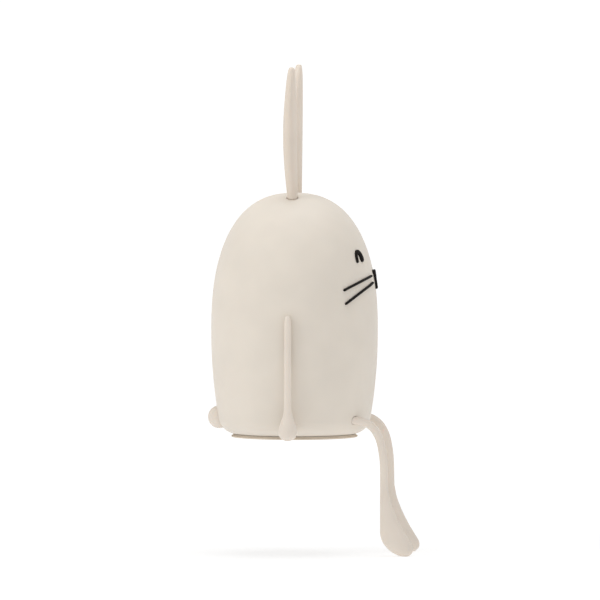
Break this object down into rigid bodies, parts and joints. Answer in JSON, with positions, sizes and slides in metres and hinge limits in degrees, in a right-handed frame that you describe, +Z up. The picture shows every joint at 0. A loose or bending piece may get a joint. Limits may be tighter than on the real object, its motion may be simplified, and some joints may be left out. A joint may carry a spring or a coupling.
{
  "type": "clockwork shelf rabbit",
  "caption": "Egg-shaped wind-up musical rabbit figure with swivelling ears, swinging arms and legs, a musical movement inside and its key in a well underneath.",
  "frame": {"origin": "centre of the base ring's underside, on the shelf that the rabbit sits on", "axes": "+X is the way the rabbit faces, +Y is its left, +Z is up; the legs hang below the base plane"},
  "size_m": [0.1151, 0.1078, 0.2686],
  "materials": {
    "shell": "soft matte, warm off-white",
    "limb": "soft matte, warm off-white",
    "base": "matte",
    "ring": "matte, taupe",
    "face": "satin black",
    "nylon": "matte",
    "grommet": "matte",
    "steel": "satin",
    "brass": "brushed",
    "vane": "satin"
  },
  "bodies": {
    "shell": {"body_shell": "shell", "base_plate": "base", "foot_ring": "ring", "base_screws": "steel", "ear_grommets": "grommet", "shoulder_bushes": "nylon", "hip_bushes": "nylon", "tail": "limb", "nose": "face", "left_eye": "face", "right_eye": "face", "left_whiskers": "face", "right_whiskers": "face", "bottom_plate": "brass", "top_plate": "brass", "pillars": "steel", "plate_screws": "steel", "movement_screws": "steel", "click_screw": "steel", "click_spring": "steel", "click_spring_screw": "steel", "comb": "steel", "comb_bracket": "brass", "comb_screws": "steel"},
    "left_ear": {"left_ear": "limb", "left_ear_clip": "steel"},
    "right_ear": {"right_ear": "limb", "right_ear_clip": "steel"},
    "left_arm": {"left_arm": "limb", "left_arm_clip": "steel"},
    "right_arm": {"right_arm": "limb", "right_arm_clip": "steel"},
    "left_leg": {"left_leg": "limb", "left_leg_clip": "steel"},
    "right_leg": {"right_leg": "limb", "right_leg_clip": "steel"},
    "winding": {"winding_key": "steel", "winding_arbor": "steel", "ratchet_wheel": "steel", "ratchet_collar": "brass"},
    "barrel": {"great_wheel": "brass", "spring_barrel": "brass", "barrel_cap": "brass", "mainspring": "steel"},
    "cylinder": {"cylinder_arbor": "steel", "cylinder_pinion": "steel", "cylinder_drum": "brass", "cylinder_pins": "steel", "cylinder_wheel": "brass"},
    "middle": {"middle_arbor": "steel", "middle_pinion": "steel", "middle_wheel": "brass"},
    "fly": {"fly_arbor": "steel", "fly_pinion": "steel", "fly_vanes": "vane"},
    "click": {"click": "steel"}
  },
  "joints": [
    {"name": "left_ear_swivel", "type": "hinge", "parent": "shell", "child": "left_ear", "pos_m": [0, 0.0145, 0.13175], "axis": [0, 0.134, 0.991], "range_deg": [-60, 60]},
    {"name": "right_ear_swivel", "type": "hinge", "parent": "shell", "child": "right_ear", "pos_m": [0, -0.0145, 0.13175], "axis": [0, -0.134, 0.991], "range_deg": [-60, 60]},
    {"name": "left_arm_swing", "type": "hinge", "parent": "shell", "child": "left_arm", "pos_m": [0.0003, 0.0487, 0.0662], "axis": [0, -1, 0], "continuous": true},
    {"name": "right_arm_swing", "type": "hinge", "parent": "shell", "child": "right_arm", "pos_m": [0.0003, -0.0487, 0.0662], "axis": [0, -1, 0], "continuous": true},
    {"name": "left_leg_swing", "type": "hinge", "parent": "shell", "child": "left_leg", "pos_m": [0.03, 0.0227, 0.0103], "axis": [1, 0, 0], "range_deg": [-10, 90]},
    {"name": "right_leg_swing", "type": "hinge", "parent": "shell", "child": "right_leg", "pos_m": [0.03, -0.0227, 0.0103], "axis": [-1, 0, 0], "range_deg": [-10, 90]},
    {"name": "key_turn", "type": "hinge", "parent": "shell", "child": "winding", "pos_m": [0, -0.006, 0.01], "axis": [0, 0, 1], "continuous": true},
    {"name": "click_rock", "type": "hinge", "parent": "shell", "child": "click", "pos_m": [-0.0106, -0.006, 0.052], "axis": [0, 0, -1], "range_deg": [0, 16], "stiffness_Nm_per_rad": 0.001, "springref_deg": -17.19, "deforming": ["click_spring"]},
    {"name": "cylinder_turn", "type": "hinge", "parent": "shell", "child": "cylinder", "pos_m": [0, 0.012, 0.035], "axis": [0, 0, 1], "continuous": true},
    {"name": "barrel_turn", "type": "hinge", "parent": "shell", "child": "barrel", "pos_m": [0, -0.006, 0.032], "axis": [0, 0, 1], "continuous": true},
    {"name": "middle_turn", "type": "hinge", "parent": "shell", "child": "middle", "pos_m": [0.01175, 0.00773, 0.046], "axis": [0, 0, 1], "continuous": true},
    {"name": "fly_turn", "type": "hinge", "parent": "shell", "child": "fly", "pos_m": [0.02036, 0.00049, 0.035], "axis": [0, 0, 1], "continuous": true}
  ],
  "couplings": [
    {"joint": "barrel_turn", "follows": "cylinder_turn", "ratio": -0.28571},
    {"joint": "middle_turn", "follows": "cylinder_turn", "ratio": -4},
    {"joint": "fly_turn", "follows": "cylinder_turn", "ratio": 16}
  ]
}
